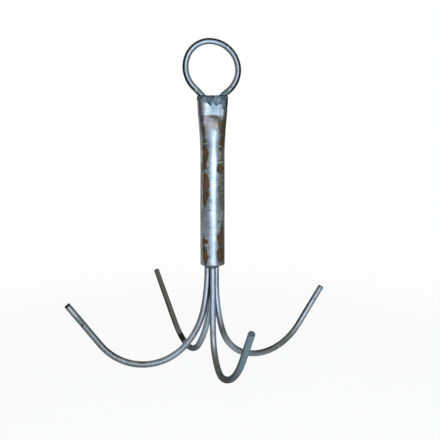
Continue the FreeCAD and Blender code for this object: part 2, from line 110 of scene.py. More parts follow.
def ease(value, low, high):
    """Rises from 0 at low to 1 at high as three squares less two cubes."""
    share = np.clip((value - low) / (high - low), 0, 1)
    return share * share * (3 - 2 * share)


def turned_from(bearing, place):
    """Degrees round from a place to a bearing, within half a turn each way."""
    return (bearing - place + 180) % 360 - 180


def patch_marks(bearing, level, patches):
    """Soft ovals: each is e to the minus of the squared distances over its reach and half height,
    times its strength. They are added up and held to one."""
    total = np.zeros_like(bearing)
    for place, middle, reach, half_height, strength in patches:
        gap = turned_from(bearing, place)
        oval = np.exp(-((gap / reach) ** 2) - ((level - middle) / half_height) ** 2)
        total += strength * oval
    return np.minimum(total, 1)


def line_marks(bearing, level, lines):
    """Thin slanting marks: a Gaussian across each slightly waved line, cut off softly past its sweep."""
    total = np.zeros_like(bearing)
    for place, middle, sweep, slant, half_width, strength in lines:
        gap = turned_from(bearing, place)
        wander = middle + slant * gap / sweep + 0.25 * np.sin(gap / sweep * 4 + middle)
        across = np.exp(-(((level - wander) / half_width) ** 2))
        total = np.maximum(total, strength * across * ease(-np.abs(gap), -sweep * 1.25, -sweep * 0.7))
    return total


def grid_faces(rows, columns, loop):
    """Quads between neighbours of a grid. Columns close round, and rows too where it loops."""
    row = np.arange(rows if loop else rows - 1)[:, None]
    column = np.arange(columns)[None, :]
    after, beside = (row + 1) % rows, (column + 1) % columns
    corners = (
        row * columns + column, row * columns + beside,
        after * columns + beside, after * columns + column,
    )
    return np.stack(np.broadcast_arrays(*corners), axis=-1).reshape(-1, 4)


def lay_surface(name, node, points, marks, material, loop=False):
    """Makes a piece of a grid of points, rows by columns, whose columns close round.

    A grid that doesn't loop is closed by a fan of triangles to a pole at each end. The faces are
    turned round together where the volume, the sum of corner triple products, comes out negative.
    The marks go with the points as attributes, and a pole has the mean of its ring's.
    """
    rows, columns = points.shape[:2]
    flat = points.reshape(-1, 3) * MM
    faces = grid_faces(rows, columns, loop)
    fans = np.empty((0, 3), int)
    if not loop:
        ring = np.arange(columns)
        beside = (ring + 1) % columns
        last = (rows - 1) * columns
        poles = np.full(columns, len(flat))
        start = np.stack((poles, beside, ring), axis=1)
        end = np.stack((poles + 1, last + ring, last + beside), axis=1)
        fans = np.concatenate((start, end))
        flat = np.concatenate((flat, flat[:columns].mean(0)[None], flat[-columns:].mean(0)[None]))
    halves = np.concatenate((faces[:, :3], faces[:, [0, 2, 3]], fans))
    a, b, c = (flat[halves[:, corner]] for corner in range(3))
    if np.einsum("ij,ij->i", a, np.cross(b, c)).sum() < 0:
        faces, fans = faces[:, ::-1], fans[:, ::-1]
    mesh = bpy.data.meshes.new(name)
    mesh.from_pydata(flat.tolist(), [], faces.tolist() + fans.tolist())
    mesh.polygons.foreach_set("use_smooth", np.ones(len(mesh.polygons), bool))
    for label, values in marks.items():
        is_place = label == "unbent"
        values = np.broadcast_to(values, points.shape if is_place else (rows, columns))
        values = values.reshape(rows, columns, -1)
        at_poles = () if loop else (values[0].mean(0)[None], values[-1].mean(0)[None])
        values = np.concatenate((values.reshape(rows * columns, -1), *at_poles))
        kind, field = ("FLOAT_VECTOR", "vector") if is_place else ("FLOAT", "value")
        layer = mesh.attributes.new(label, kind, "POINT")
        layer.data.foreach_set(field, values.astype(np.float32).ravel())
    mesh.update()
    piece = bpy.data.objects.new(name, mesh)
    bpy.context.scene.collection.objects.link(piece)
    mesh.materials.append(material)
    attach(piece, "root")
    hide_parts(node)


# Finishes

class Nodes:
    """A tree of nodes, with short ways to add the kinds that the steels and the stage need.

    Noise and cells have a scale in patterns per metre, and a bump's distance is in metres.
    """

    def __init__(self, tree):
        self.tree = tree

    def add(self, kind, inputs=(), **settings):
        node = self.tree.nodes.new(kind)
        for key, value in settings.items():
            setattr(node, key, value)
        for key, value in dict(inputs).items():
            self.feed(node.inputs[key], value)
        return node

    def feed(self, socket, value):
        if isinstance(value, bpy.types.NodeSocket):
            self.tree.links.new(value, socket)
        else:
            socket.default_value = value

    def mark(self, name):
        return self.add("ShaderNodeAttribute", attribute_name=name).outputs["Fac"]

    def unbent(self, stretch=(1, 1, 1)):
        """Where a point of the metal lay before the rod was bent, stretched on each axis."""
        place = self.add("ShaderNodeAttribute", attribute_name="unbent").outputs["Vector"]
        return self.add("ShaderNodeMapping", {"Vector": place, "Scale": stretch}).outputs["Vector"]

    def noise(self, vector, scale, detail=3.0, rough=0.55, warp=0.0):
        inputs = {"Vector": vector, "Scale": scale, "Detail": detail, "Roughness": rough, "Distortion": warp}
        return self.add("ShaderNodeTexNoise", inputs).outputs["Fac"]

    def cells(self, vector, scale):
        return self.add("ShaderNodeTexVoronoi", {"Vector": vector, "Scale": scale}).outputs["Distance"]

    def maths(self, operation, first, second=0.0):
        node = self.add("ShaderNodeMath", {0: first, 1: second}, operation=operation)
        return node.outputs["Value"]

    def between(self, value, low, high, start=0.0, end=1.0):
        """Passes smoothly from start to end while a value goes from low to high."""
        inputs = {"Value": value, "From Min": low, "From Max": high, "To Min": start, "To Max": end}
        node = self.add("ShaderNodeMapRange", inputs, interpolation_type="SMOOTHSTEP")
        return node.outputs["Result"]

    def ragged(self, name, speckle, amount, low, high):
        """A mark with a broken edge: it passes from low to high with an amount of speckle added."""
        speckled = self.maths("ADD", self.mark(name), self.maths("MULTIPLY", speckle, amount))
        return self.between(speckled, low, high)

    def colour(self, share, first, second):
        node = self.add("ShaderNodeMix", data_type="RGBA")
        self.feed(node.inputs["Factor"], share)
        for place, value in ((6, first), (7, second)):
            self.feed(node.inputs[place], (*value, 1.0) if isinstance(value, tuple) else value)
        return node.outputs[2]

    def value(self, share, first, second):
        inputs = {"Factor": share, "A": first, "B": second}
        return self.add("ShaderNodeMix", inputs, data_type="FLOAT").outputs["Result"]

    def dulled(self, dull, share, amount):
        """The duller of what is there and an amount of a share."""
        return self.maths("MAXIMUM", self.maths("MULTIPLY", share, amount), dull)

    def bump(self, height, distance, strength=1.0, below=None):
        inputs = {"Height": height, "Distance": distance, "Strength": strength}
        if below is not None:
            inputs["Normal"] = below
        return self.add("ShaderNodeBump", inputs).outputs["Normal"]

    def whiteness(self):
        """How white a ray finds the surroundings: wholly from the camera, in part off the steel."""
        rays = self.add("ShaderNodeLightPath")
        mirrored = self.maths("MULTIPLY", rays.outputs["Is Glossy Ray"], MIRRORED_LEVEL)
        return self.maths("MAXIMUM", rays.outputs["Is Camera Ray"], mirrored)


class Finish(Nodes):
    """A material and its nodes."""

    def __init__(self, name):
        self.material = bpy.data.materials.new(name)
        self.material.use_nodes = True
        super().__init__(self.material.node_tree)
        self.shader = self.tree.nodes["Principled BSDF"]

    def set(self, **sockets):
        for name, value in sockets.items():
            label = name.replace("_", " ").title().replace("Ior", "IOR")
            self.feed(self.shader.inputs[label], value)

    def marred(self, tone):
        """A colour with the dark nicks and then the bare scratches laid over it; on the tube one is a
        painted highlight.
        """
        tone = self.colour(self.mark("nick"), tone, BLACK_SCALE_AND_SHADE)
        return self.colour(self.mark("scratch"), tone, BARE_SCRATCH)


# Colours of the steels, the stains and the weld metal
DARK_STEEL = (0.205, 0.235, 0.265)
PALE_STEEL = (0.380, 0.425, 0.470)
EYE_STEEL = (0.245, 0.292, 0.328)
PRONG_STEEL = (0.300, 0.345, 0.395)
PAINTED_LIGHT_STEEL = (0.46, 0.57, 0.66)
DRAB_STEEL = (0.155, 0.153, 0.130)
OLIVE_STEEL = (0.068, 0.064, 0.034)
MAUVE_STEEL = (0.335, 0.288, 0.297)
BLUED_AND_SHADED_STEEL = (0.140, 0.178, 0.215)
CREASE_SHADE_TINT = (0.130, 0.108, 0.082)
RUST_BLUSH = (0.400, 0.235, 0.165)
BROWN_STAIN = (0.072, 0.037, 0.014)
ORANGE_RUST = (0.150, 0.056, 0.014)
MAUVE_SOOT = (0.125, 0.112, 0.118)
OLIVE_BLACK = (0.026, 0.026, 0.015)
BARE_SCRATCH = (0.55, 0.55, 0.52)
BLACK_SCALE_AND_SHADE = (0.014, 0.016, 0.019)
OLIVE_SCALE_AND_SHADE = (0.026, 0.023, 0.013)
TEAL_OXIDE = (0.093, 0.130, 0.138)
WELD_NAVY = (0.030, 0.044, 0.062)
WELD_TEAL = (0.070, 0.106, 0.122)
WELD_PALE = (0.150, 0.172, 0.195)

# What the steels reflect at their edges, and how strongly
DARK_EDGE = (0.05, 0.055, 0.065, 1.0)
KHAKI_EDGE = (0.62, 0.63, 0.52, 1.0)
EDGE_LEVEL = 0.25

# Even tints on the tube, in the order that they are laid over each other. The band tint under the
# crease is painted shade; the blued tint is heat tint by the rim and painted shade low on the front
TUBE_TINTS = {"blued_and_painted_shade": BLUED_AND_SHADED_STEEL, "mauve": MAUVE_STEEL, "painted_crease_shade": CREASE_SHADE_TINT, "blush": RUST_BLUSH}

# Ragged stains on the tube, in their order: where the edge starts and ends, how far the stain
# covers and dulls the steel, and its colour. A few olive ovals under the crease are painted shade.
TUBE_STAINS = {
    "soot": (1.30, 2.15, 1.0, 0.0, MAUVE_SOOT),
    "olive": (1.50, 2.10, 0.9, 0.75, OLIVE_STEEL),
    "brown": (1.62, 2.12, 1.0, 0.8, BROWN_STAIN),
    "rust": (1.74, 2.34, 1.0, 1.0, ORANGE_RUST),
    "black": (1.50, 2.05, 1.0, 1.0, OLIVE_BLACK),
}
STAIN_SPECKLE = 2.4


def tube_finish():
    """Pressed and handled tube: pale worn steel with fine marks across it, tints, ragged stains,
    small pits, nicks and scratches. Painted shade darkens a band under the crease and the highlight
    low on the front, and a wide scratch is a painted highlight. Stains take away its gloss and most
    of its metal."""
    steel = Finish("handled_tube_steel")
    place = steel.unbent()
    cloud = steel.noise(place, scale=45, detail=4, rough=0.6)
    across = steel.noise(steel.unbent((0.35, 0.35, 3.2)), scale=260, detail=4, rough=0.62)
    fine = steel.noise(place, scale=1500, detail=3, rough=0.6)
    blots = steel.noise(place, scale=170, detail=4, rough=0.6, warp=0.5)
    speck = steel.value(0.45, blots, steel.noise(place, scale=640, detail=4, rough=0.7))
    worn = steel.between(steel.value(0.45, cloud, across), 0.38, 0.64)
    tone = steel.colour(worn, DARK_STEEL, PALE_STEEL)
    for name, tint in TUBE_TINTS.items():
        tone = steel.colour(steel.mark(name), tone, tint)
    dull = 0.0
    for name, (low, high, cover, dulling, stain) in TUBE_STAINS.items():
        share = steel.ragged(name, speck, STAIN_SPECKLE, low, high)
        tone = steel.colour(steel.maths("MULTIPLY", share, cover), tone, stain)
        dull = steel.dulled(dull, share, dulling)
    pits = steel.between(steel.cells(place, scale=700), 0.16, 0.05)
    pits = steel.maths("MULTIPLY", pits, steel.between(speck, 0.5, 0.62))
    tone = steel.colour(steel.maths("MULTIPLY", pits, 0.7), tone, BLACK_SCALE_AND_SHADE)
    gloss = steel.between(across, 0.3, 0.7, start=0.24, end=0.36)
    relief = steel.bump(across, distance=0.00002, strength=0.5)
    relief = steel.bump(fine, distance=0.000008, strength=0.4, below=relief)
    crust = steel.maths("MULTIPLY", speck, dull)
    relief = steel.bump(crust, distance=0.00015, strength=0.6, below=relief)
    steel.set(
        base_color=steel.marred(tone), metallic=steel.between(dull, 0, 1, start=1, end=0.12),
        roughness=steel.value(dull, gloss, 0.66), normal=relief,
        specular_tint=KHAKI_EDGE, specular_ior_level=EDGE_LEVEL,
    )
    return steel.material


def rod_finish(name, pale, scale_and_shade_tone, brown_lift):
    """Drawn rod: blue-grey with faint marks along it, drab stretches, painted light where stretches are
    lightened as if lit, dull mill scale with painted shade on the edges, thin brown stains and a
    grainy teal oxide. The brown lift widens the brown stains."""
    steel = Finish(name)
    place = steel.unbent()
    along = steel.noise(steel.unbent((2.6, 2.6, 0.22)), scale=330, detail=4, rough=0.6)
    cloud = steel.noise(place, scale=60, detail=4, rough=0.62)
    speck = steel.noise(place, scale=520, detail=4, rough=0.66)
    worn = steel.between(steel.value(0.5, cloud, along), 0.36, 0.66)
    tone = steel.colour(worn, DARK_STEEL, pale)
    drab = steel.mark("drab")
    tone = steel.colour(drab, tone, DRAB_STEEL)
    # Painted light: a paler steel where a stretch lies in shade or should carry a highlight
    tone = steel.colour(steel.mark("painted_light"), tone, PAINTED_LIGHT_STEEL)
    # The scale is mill scale and the burnt cut end, and also painted shade darkening a rod's edges
    scale = steel.ragged("scale", speck, 0.8, 0.58, 1.1)
    tone = steel.colour(scale, tone, scale_and_shade_tone)
    brown = steel.ragged("brown", speck, 0.8, 0.62 - brown_lift, 1.1 - brown_lift)
    tone = steel.colour(steel.maths("MULTIPLY", brown, 0.85), tone, BROWN_STAIN)
    teal = steel.ragged("teal", cloud, 0.6, 0.5, 1.0)
    grain = steel.noise(place, scale=1100, detail=3, rough=0.7)
    grain = steel.between(grain, 0.3, 0.7, start=0.75, end=1.2)
    oxide = steel.add("ShaderNodeVectorMath", {0: TEAL_OXIDE, "Scale": grain}, operation="SCALE")
    tone = steel.colour(teal, tone, oxide.outputs["Vector"])
    dull = 0.0
    for share, amount in ((brown, 0.6), (scale, 0.5), (teal, 0.8), (drab, 0.6)):
        dull = steel.dulled(dull, share, amount)
    gloss = steel.between(speck, 0.3, 0.7, start=0.24, end=0.34)
    relief = steel.bump(along, distance=0.00008, strength=0.5)
    relief = steel.bump(speck, distance=0.00012, strength=0.5, below=relief)
    steel.set(
        base_color=steel.marred(tone), metallic=steel.between(dull, 0, 1, start=1, end=0.3),
        roughness=steel.value(dull, gloss, 0.62), normal=relief,
        specular_tint=DARK_EDGE, specular_ior_level=EDGE_LEVEL,
    )
    return steel.material


def weld_finish():
    """Weld metal: lumpy, in navy and dark teal runs with pale, sooty and black streaks."""
    weld = Finish("dark_weld_metal")
    place = weld.unbent()
    lumps = weld.noise(place, scale=240, detail=4, rough=0.6, warp=0.4)
    runs = weld.noise(weld.unbent((1, 1, 0.4)), scale=310, detail=3, rough=0.55, warp=0.3)
    streaks = weld.noise(weld.unbent((1, 1, 0.3)), scale=420, detail=2, rough=0.5)
    speck = weld.noise(place, scale=800, detail=4, rough=0.7)
    tone = weld.colour(weld.between(runs, 0.36, 0.64), WELD_NAVY, WELD_TEAL)
    tone = weld.colour(weld.between(lumps, 0.54, 0.68, end=0.6), tone, MAUVE_SOOT)
    tone = weld.colour(weld.mark("pale"), tone, WELD_PALE)
    tone = weld.colour(weld.between(streaks, 0.64, 0.76, end=0.6), tone, PALE_STEEL)
    tone = weld.colour(weld.mark("black"), tone, BLACK_SCALE_AND_SHADE)
    relief = weld.bump(lumps, distance=0.0004, strength=0.7)
    relief = weld.bump(speck, distance=0.00015, strength=0.6, below=relief)
    weld.set(
        base_color=tone, metallic=0.9, normal=relief,
        roughness=weld.between(speck, 0.3, 0.7, start=0.30, end=0.55),
        specular_tint=DARK_EDGE, specular_ior_level=EDGE_LEVEL,
    )
    return weld.material


# The tube

def squeezed_section(depth, share, outward):
    """Points on the tube's section at a depth below the rim, moved out along the surface.

    The width follows a half cosine from the pressed rim to the round tube. The section is four
    tangent arcs, two faces and two sides: their half angle grows evenly down the blend and the
    depth as a quarter sine. A share of 0 is the middle of the front, and it grows to the right.
    Within a quarter the girth is walked evenly: the face arc first, then the side arc.
    """
    squeeze = (1 + np.cos(np.pi * np.clip(depth / SQUEEZE_LENGTH, 0, 1))) / 2
    half_width = TUBE + (PRESSED_HALF_WIDTH - TUBE) * squeeze
    swell = np.clip((depth - PRESSED_LENGTH) / (SQUEEZE_LENGTH - PRESSED_LENGTH), 0, 1)
    half_depth = PRESSED_HALF_DEPTH + (TUBE - PRESSED_HALF_DEPTH) * np.sin(np.pi / 2 * swell)
    angle = np.radians(np.maximum(FACE_HALF_ANGLE * swell, FLATTEST_ANGLE))
    offset = (half_width - half_depth) / (np.sin(angle) + np.cos(angle) - 1)
    side_radius = half_depth - offset * (1 - np.cos(angle))
    side_centre = half_width - side_radius
    face_radius = offset + side_radius
    face_centre = half_depth - face_radius
    quarter = (share % 1) * 4
    index = np.floor(quarter)
    along = np.where(index % 2 == 0, quarter - index, 1 - (quarter - index))
    face_girth = face_radius * angle
    girth = along * (face_girth + side_radius * (np.pi / 2 - angle))
    on_face = girth < face_girth
    bearing = np.where(on_face, girth / face_radius, angle + (girth - face_girth) / side_radius)
    reach = np.where(on_face, face_radius, side_radius) + outward
    across = np.where(on_face, 0, side_centre) + reach * np.sin(bearing)
    deep = np.where(on_face, face_centre, 0) + reach * np.cos(bearing)
    rightward = np.where(index < 2, 1, -1)
    forward = np.where((index == 0) | (index == 3), 1, -1)
    return np.stack((rightward * across, -forward * deep, RIM - depth + 0 * across), axis=-1)


# Tints and stains on the tube, each a list of soft ovals: bearing from the front to the right in
# degrees, height, reach in degrees, half height in millimetres and strength
TUBE_MARKS = {
    "olive": (
        # The three olive ovals at 328 to 330.4 mm are painted shade under the crease; the rest are stains
        (-76, 235, 16, 78, 0.95), (44, 236, 14, 32, 0.35), (-7, 330.4, 11, 2.2, 0.5),
        (9, 328.8, 15, 3.2, 0.6), (26, 328.0, 10, 2.6, 0.5), (-55, 318, 12, 14, 0.7),
        (34, 319.5, 7, 6, 0.85), (74, 300, 18, 40, 1.6), (80, 230, 16, 60, 1.6), (76, 150, 20, 36, 1.6),
        (56, 258, 19, 30, 1.4), (47, 232, 20, 14, 1.3), (54, 215, 11, 8, 0.9), (48, 312, 16, 16, 1.4),
        (46, 158, 20, 22, 1.2), (50, 189, 10, 8, 0.8), (-46, 288, 12, 18, 0.75), (-46, 262, 12, 10, 0.7),
        (-48, 215, 8, 60, 0.45), (-46, 158, 12, 22, 0.7), (140, 280, 40, 40, 0.9),
        (-150, 180, 40, 50, 0.9), (170, 160, 30, 26, 0.9), (120, 190, 30, 60, 0.8),
        (-110, 250, 20, 60, 0.7),
    ),
    "brown": (
        (-43, 312, 9, 9, 1.1), (-37, 293, 12, 8, 0.95), (-34, 281.5, 15, 7.5, 1.6),
        (-37, 273.5, 12, 4.5, 1.2), (-37, 265, 11, 3.6, 1.2), (-32, 253, 10, 3, 1.1),
        (-31, 242.5, 18, 9.5, 1.8), (-31, 228, 17, 9, 1.2), (-37, 216.5, 12, 6, 0.95),
        (-42, 286, 8, 18, 0.85), (-42, 237, 8, 24, 0.85), (-34, 167, 16, 2.8, 1.4),
        (-43, 157, 10, 13, 1.5), (-33, 147, 14, 10, 1.6), (44, 295, 14, 7, 1.2),
        (39, 262.6, 17, 6.0, 1.7), (54, 306, 9, 14, 1.2), (40, 169.5, 16, 8, 1.4),
        (46, 149, 18, 13, 1.25), (49, 181, 11, 8, 1.1), (28, 172.3, 9, 3.2, 0.9), (52, 316, 13, 12, 0.75),
        (62, 235, 9, 16, 0.6), (118, 300, 22, 26, 1.0), (150, 215, 26, 20, 1.1), (-130, 260, 24, 34, 1.0),
        (-100, 170, 20, 24, 1.0), (178, 325, 20, 10, 1.0), (95, 190, 14, 18, 0.9), (28, 261, 8, 4.5, 0.9),
        (39, 287.5, 12, 4, 0.9), (27, 148, 9, 11, 0.9),
    ),
    "rust": (
        (-37, 283, 9, 6.5, 1.25), (-33, 242.5, 12, 8.5, 1.6), (-30, 252, 8, 2.8, 1.0),
        (-34, 228, 8, 6, 0.8), (-33, 149, 11, 7.5, 1.2), (-35, 165.5, 7, 2.4, 0.85),
        (-44, 312, 6, 6, 0.5), (40, 263.3, 11, 3.6, 0.95), (37, 168.4, 9, 4, 0.85),
        (42, 149, 10, 9, 0.75), (42, 296, 8, 3.5, 0.75), (140, 208, 12, 9, 1.1), (-122, 246, 12, 14, 1.0),
        (122, 312, 10, 10, 0.9), (-96, 160, 9, 9, 1.0),
    ),
    "black": (
        (-51, 324, 7, 8, 1.1), (80, 328, 17, 18, 1.6), (86, 346, 9, 3, 1.5), (70, 306, 9, 14, 1.0),
        (-86, 330, 11, 24, 0.8), (66, 263, 10, 5, 0.9), (68, 155, 10, 18, 0.9), (62, 296, 8, 6, 0.8),
    ),
    "soot": (
        (-56, 345, 18, 26, 1.6), (18, 325.0, 14, 2.4, 0.8), (24, 312, 12, 8, 0.62), (36, 304, 8, 7, 0.4),
        (42, 340, 7, 12, 0.75), (40, 324, 14, 5, 1.1), (60, 272, 30, 2.0, 0.9), (-160, 345, 40, 8, 0.8),
        (160, 340, 30, 12, 0.8),
    ),
    # Heat tint by the rim; the three ovals near 150 mm are painted shade dimming the highlight
    "blued_and_painted_shade": (
        (2, 343, 13, 12, 1.1), (24, 343, 14, 12, 0.85), (44, 338, 12, 14, 1.2), (-44, 340, 8, 13, 1.0),
        (180, 342, 60, 14, 1.0), (1, 150, 30, 14, 0.38), (18, 152, 9, 19, 0.5), (-14, 148, 7, 12, 0.35),
    ),
    "mauve": (
        (-32, 324.5, 16, 6.0, 1.2), (-6, 326.2, 14, 2.4, 0.8), (-28, 316, 12, 7, 0.4),
        (-50, 335, 10, 12, 0.5),
    ),
    # Painted shade: a darker band just under the crease of the pressed faces
    "painted_crease_shade": ((-8, 330.6, 11, 1.9, 0.75), (8, 329.6, 13, 3.0, 0.95), (24, 327.6, 12, 3.2, 0.8)),
    "blush": ((18, 319.8, 10, 4.4, 1.05), (-38, 317, 4, 3, 0.35), (150, 300, 9, 6, 0.7)),
}

# Light scratches and dark nicks on the tube: bearing, height, half sweep in degrees, slant, half
# width and strength. The wide one at -8 degrees and 316.5 mm is a painted highlight.
TUBE_SCRATCHES_AND_HIGHLIGHT = (
    (-34, 294.6, 13, 0.6, 0.55, 0.7), (38, 291.3, 8, -0.4, 0.55, 0.75), (44, 270.6, 18, 0.5, 0.6, 0.7),
    (36, 305.5, 10, 1.4, 0.4, 0.4), (40, 252.0, 10, 1.2, 0.45, 0.6), (40, 246.5, 13, 2.0, 0.35, 0.5),
    (42, 240.5, 14, -1.6, 0.35, 0.45), (45, 236.0, 12, 1.4, 0.35, 0.4), (40, 229.5, 15, 1.8, 0.3, 0.4),
    (-31, 162.2, 9, -1.2, 0.8, 0.9), (-21, 154.0, 5, 3.4, 0.7, 0.55), (34, 196.0, 8, 0.5, 0.6, 0.7),
    (30, 186.5, 12, 2.4, 0.9, 0.35), (0, 183.0, 26, 0.7, 0.3, 0.25), (-52, 212, 8, 1.0, 0.4, 0.4),
    # Painted highlight: the next wide scratch lays pale steel where the highlight should reach up
    (-8, 316.5, 12, 0.0, 6.0, 0.4), (130, 265.0, 20, 1.5, 0.4, 0.6), (-140, 205.0, 18, -1.0, 0.4, 0.6),
    (175, 250.0, 22, 3.0, 0.4, 0.5),
)
TUBE_NICKS = (
    (42, 272.6, 18, 0.3, 0.6, 0.75), (32, 193.6, 8, 0.2, 0.9, 0.9), (-19, 149.0, 6, -1.6, 0.7, 0.8),
    (-26, 258.0, 4, 0.2, 0.6, 0.6), (28, 172.5, 7, -0.8, 0.7, 0.7), (155, 230.0, 8, 0.5, 0.6, 0.8),
    (-105, 290.0, 7, -0.6, 0.6, 0.8),
)

# Heights and wavelengths of the tube's dents, and the depths of its scratches and nicks
TUBE_DENTS = ((0.10, 34), (0.03, 9))
SCRATCH_DEPTH = 0.06
NICK_DEPTH = 0.18

# The grid's columns, its rows outside, round the lower edge and in the bore, and the bore's chamfer
TUBE_COLUMNS = 208
OUTER_ROWS = 400
EDGE_ROWS = 6
BORE_ROWS = 40
BORE_CHAMFER = 0.3

# The bore's brown stain, and how far up the soot of the lower weld fades out on the tube
BORE_STAIN = 0.6
SOOTY_EDGE = (0.8, 2.2)


def make_tube(material):
    """The tube as one closed shell: down the outside, round the lower edge and up the bore.

    Outside rows follow the squeezed section with dents of a tenth of a millimetre. The lower edge
    is a quarter circle. The bore is the same section moved in by the wall.
    """
    share = np.arange(TUBE_COLUMNS)[None, :] / TUBE_COLUMNS
    length = RIM - LOWER_END
    outer_depth = np.linspace(0, length - LOWER_ROUND, OUTER_ROWS)
    turn = np.linspace(0, np.pi / 2, EDGE_ROWS)[1:]
    edge_depth = length - LOWER_ROUND + LOWER_ROUND * np.sin(turn)
    edge_inset = LOWER_ROUND * (1 - np.cos(turn))
    bore_depth = np.linspace(length - BORE_CHAMFER, 0, BORE_ROWS)
    depth = np.concatenate((outer_depth, edge_depth, [length], bore_depth))
    inset = np.concatenate((0 * outer_depth, edge_inset, [WALL - BORE_CHAMFER], 0 * bore_depth + WALL))
    points = squeezed_section(depth[:, None], share, -inset[:, None])
    bearing = np.broadcast_to(360 * share, points.shape[:2])
    height = points[..., 2]
    scratch = line_marks(bearing, height, TUBE_SCRATCHES_AND_HIGHLIGHT)
    nick = line_marks(bearing, height, TUBE_NICKS)
    outside = ease(-inset, -0.5, 0)[:, None]
    dents = uneven(points, TUBE_DENTS, seed=3) - NICK_DEPTH * nick - SCRATCH_DEPTH * scratch
    dents = dents * outside
    moved = squeezed_section(depth[:, None], share, dents - inset[:, None])
    marks = {"unbent": points * MM}
    for name, patches in TUBE_MARKS.items():
        marks[name] = patch_marks(bearing, height, patches)
    marks["brown"] = np.maximum(marks["brown"], (1 - outside) * BORE_STAIN)
    marks["black"] = marks["black"] * outside
    soot_from, soot_to = SOOTY_EDGE
    marks["soot"] = np.maximum(marks["soot"], ease(LOWER_END - height, -soot_to, -soot_from))
    marks["scratch"] = scratch * outside
    marks["nick"] = nick * outside
    lay_surface("shank", "shank_tube", moved, marks, material, loop=True)


# Bent rods

# Points on a rod's fine centre line, columns round it, spacing of its rows, the chamfer of its cut
# ends and the short step that keeps the chamfer's edges crisp
LINE_POINTS = 6001
ROD_COLUMNS = 44
ROW_SPACING = 0.75
TIP_CHAMFER = 0.5
CRISP = 0.06

# Heights and wavelengths of a rod's waver, and the depths of its scratches and nicks
ROD_WAVER = ((0.05, 26), (0.025, 5))
ROD_SCRATCH_DEPTH = 0.05
ROD_NICK_DEPTH = 0.25

# The step between two rods' places in the pattern of the steel, so that no two look alike
PATTERN_STEP = 400.0


def rod_line(lengths, headings, start, first_way, second_way, along):
    """The centre line and its frame where the heading runs straight between the stages' ends.

    A point is the start plus the running sum of first way times cosine and second way times sine
    of the heading. The inward normal is its quarter turn, and the third way is their cross product.
    """
    ends = np.concatenate(([0], np.cumsum(lengths)))
    fine = np.linspace(0, ends[-1], LINE_POINTS)
    heading = np.radians(np.interp(fine, ends, headings))
    way = np.cos(heading)[:, None] * first_way + np.sin(heading)[:, None] * second_way
    steps = (way[1:] + way[:-1]) / 2 * (fine[1] - fine[0])
    line = start + np.concatenate((np.zeros((1, 3)), np.cumsum(steps, axis=0)))
    centre = np.stack([np.interp(along, fine, line[:, axis]) for axis in range(3)], axis=-1)
    turn = np.interp(along, fine, heading)
    normal = -np.sin(turn)[:, None] * first_way + np.cos(turn)[:, None] * second_way
    return centre, normal, np.cross(first_way, second_way)


def sawn_ends(length):
    """Rows along a rod and the radius at each: full along the middle, chamfered at both cut ends."""
    middle = np.linspace(TIP_CHAMFER, length - TIP_CHAMFER, int(length / ROW_SPACING))
    lift = np.array([0, 0, 0, CRISP, TIP_CHAMFER - CRISP])
    face = ROD - TIP_CHAMFER
    radii = np.array([ROD / 2, face - 2 * CRISP, face, face + CRISP, ROD - CRISP])
    along = np.concatenate((lift, middle, length - lift[::-1]))
    return along, np.concatenate((radii, 0 * middle + ROD, radii[::-1]))


def make_rod(name, node, lengths, headings, start, ways, marks_at, material, seed):
    """A round bar carried along its bent line, with a waver of a few hundredths of a millimetre."""
    length = float(np.sum(lengths))
    along, radius = sawn_ends(length)
    around = np.arange(ROD_COLUMNS) / ROD_COLUMNS * TURN
    centre, normal, third = rod_line(lengths, headings, start, *ways, along)
    unbent = np.stack(np.broadcast_arrays(
        radius[:, None] * np.cos(around), radius[:, None] * np.sin(around), along[:, None]
    ), axis=-1)
    marks = marks_at(along[:, None], np.degrees(around)[None, :], length)
    full = radius[:, None] / ROD
    waver = uneven(unbent, ROD_WAVER, seed)
    waver = waver - ROD_NICK_DEPTH * marks["nick"] - ROD_SCRATCH_DEPTH * marks["scratch"]
    reach = radius[:, None] + waver * full
    across = np.cos(around)[None, :, None] * normal[:, None, :] + np.sin(around)[None, :, None] * third
    points = centre[:, None, :] + reach[..., None] * across
    marks["unbent"] = (unbent + np.array([0, 0, PATTERN_STEP * seed])) * MM
    lay_surface(name, node, points, marks, material)


def rod_marks(browns=(), scales_and_edge_shades=(), teals=(), drabs=(), painted_lights=(), scratches=(), nicks=(), burnt=1.0):
    """Marks on a rod, listed as the tube's are, but by bearing round it, where 0 faces the bend's
    inside, and distance along it. The cut end is burnt dark over a length."""
    def at(along, around, length):
        shape = np.broadcast_shapes(along.shape, around.shape)
        bearing = np.broadcast_to(around, shape)
        level = np.broadcast_to(along, shape)
        cut = 0.9 * ease(level, length - burnt, length - 0.4 * burnt)
        return {
            "brown": patch_marks(bearing, level, browns),
            # Besides mill scale and the burnt cut end, the scale mark holds painted shade on a rod's edges
            "scale": np.maximum(patch_marks(bearing, level, scales_and_edge_shades), cut),
            "teal": patch_marks(bearing, level, teals),
            "drab": patch_marks(bearing, level, drabs),
            # Painted light: this mark lightens stretches that lie in shade or should carry a highlight
            "painted_light": patch_marks(bearing, level, painted_lights),
            "scratch": line_marks(bearing, level, scratches),
            "nick": line_marks(bearing, level, nicks),
        }
    return at
